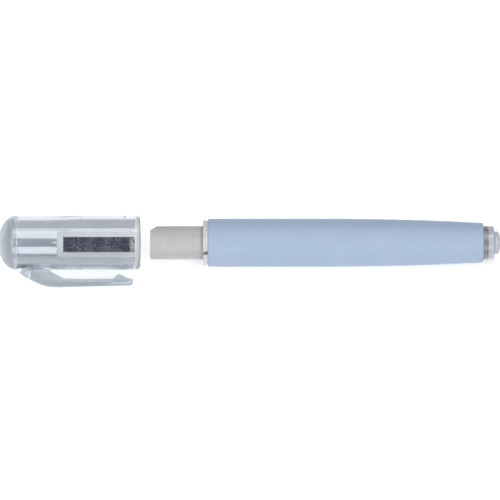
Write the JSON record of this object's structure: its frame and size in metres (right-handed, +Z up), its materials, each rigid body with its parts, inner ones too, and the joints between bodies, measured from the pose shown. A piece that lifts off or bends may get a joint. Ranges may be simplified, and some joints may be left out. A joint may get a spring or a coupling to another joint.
{
  "type": "lens cleaning pen",
  "caption": "Slim lens cleaning pen: a round cleaning rod in a push-button collet holder, with a clear push-on cap, a pocket clip and a napped dressing pad on the cap's side.",
  "frame": {"origin": "centre of the cleaning rod's front face, on the pen's axis", "axes": "+X along the pen towards the tail button; +Z up, with the pen lying on its cap and the edge of its clip; the clip points to -Y and 25.5 degrees down"},
  "size_m": [0.1501, 0.0215, 0.0175],
  "materials": {
    "clear_plastic": "polished, clear with a slight blue-grey tint",
    "blue_plastic": "satin",
    "collet_plastic": "translucent white, fine satin",
    "rod_stock": "matt, fine grain",
    "felt_nap": "dense speckled nap",
    "felt_backing": "pale woven backing",
    "smoke_plastic": "smoky, translucent",
    "plug_plastic": "pale, translucent",
    "bush_plastic": "natural white",
    "spring_wire": "drawn wire"
  },
  "bodies": {
    "barrel": {"barrel": "blue_plastic", "rear_bush": "bush_plastic", "return_spring": "spring_wire"},
    "cap": {"cap_shell": "clear_plastic", "dressing_pad": "felt_nap", "pad_backing": "felt_backing"},
    "clip": {"pocket_clip": "clear_plastic"},
    "chuck": {"chuck_tube": "collet_plastic", "tail_button": "smoke_plastic", "tail_plug": "plug_plastic"},
    "jaw_1": {"jaw_1": "collet_plastic"},
    "jaw_2": {"jaw_2": "collet_plastic"},
    "jaw_3": {"jaw_3": "collet_plastic"},
    "rod": {"cleaning_rod": "rod_stock"}
  },
  "joints": [
    {"name": "cap_slide", "type": "slide", "parent": "barrel", "child": "cap", "axis": [1, 0, 0], "range_m": [0, 0.0336]},
    {"name": "clip_flex", "type": "hinge", "parent": "cap", "child": "clip", "pos_m": [-0.02645, -0.01092, -0.00521], "axis": [0, 0.4305, -0.9026], "range_deg": [0, 5], "stiffness_Nm_per_rad": 1.2},
    {"name": "button_push", "type": "slide", "parent": "barrel", "child": "chuck", "axis": [-1, 0, 0], "range_m": [0, 0.0025], "stiffness_N_per_m": 800, "springref_m": -0.002, "deforming": ["return_spring"]},
    {"name": "rod_feed", "type": "slide", "parent": "chuck", "child": "rod", "axis": [-1, 0, 0], "range_m": [-0.0155, 0.002]},
    {"name": "jaw_1_open", "type": "hinge", "parent": "chuck", "child": "jaw_1", "pos_m": [0.03415, 0.00048, 0.00533], "axis": [0, 0.996, -0.0889], "range_deg": [0, 0.87]},
    {"name": "jaw_2_open", "type": "hinge", "parent": "chuck", "child": "jaw_2", "pos_m": [0.03415, 0.00438, -0.00308], "axis": [0, -0.575, -0.8181], "range_deg": [0, 0.87]},
    {"name": "jaw_3_open", "type": "hinge", "parent": "chuck", "child": "jaw_3", "pos_m": [0.03415, -0.00485, -0.00225], "axis": [0, -0.421, 0.907], "range_deg": [0, 0.87]}
  ],
  "couplings": [
    {"joint": "jaw_1_open", "follows": "button_push", "rad_per_m": 6},
    {"joint": "jaw_2_open", "follows": "button_push", "rad_per_m": 6},
    {"joint": "jaw_3_open", "follows": "button_push", "rad_per_m": 6}
  ]
}
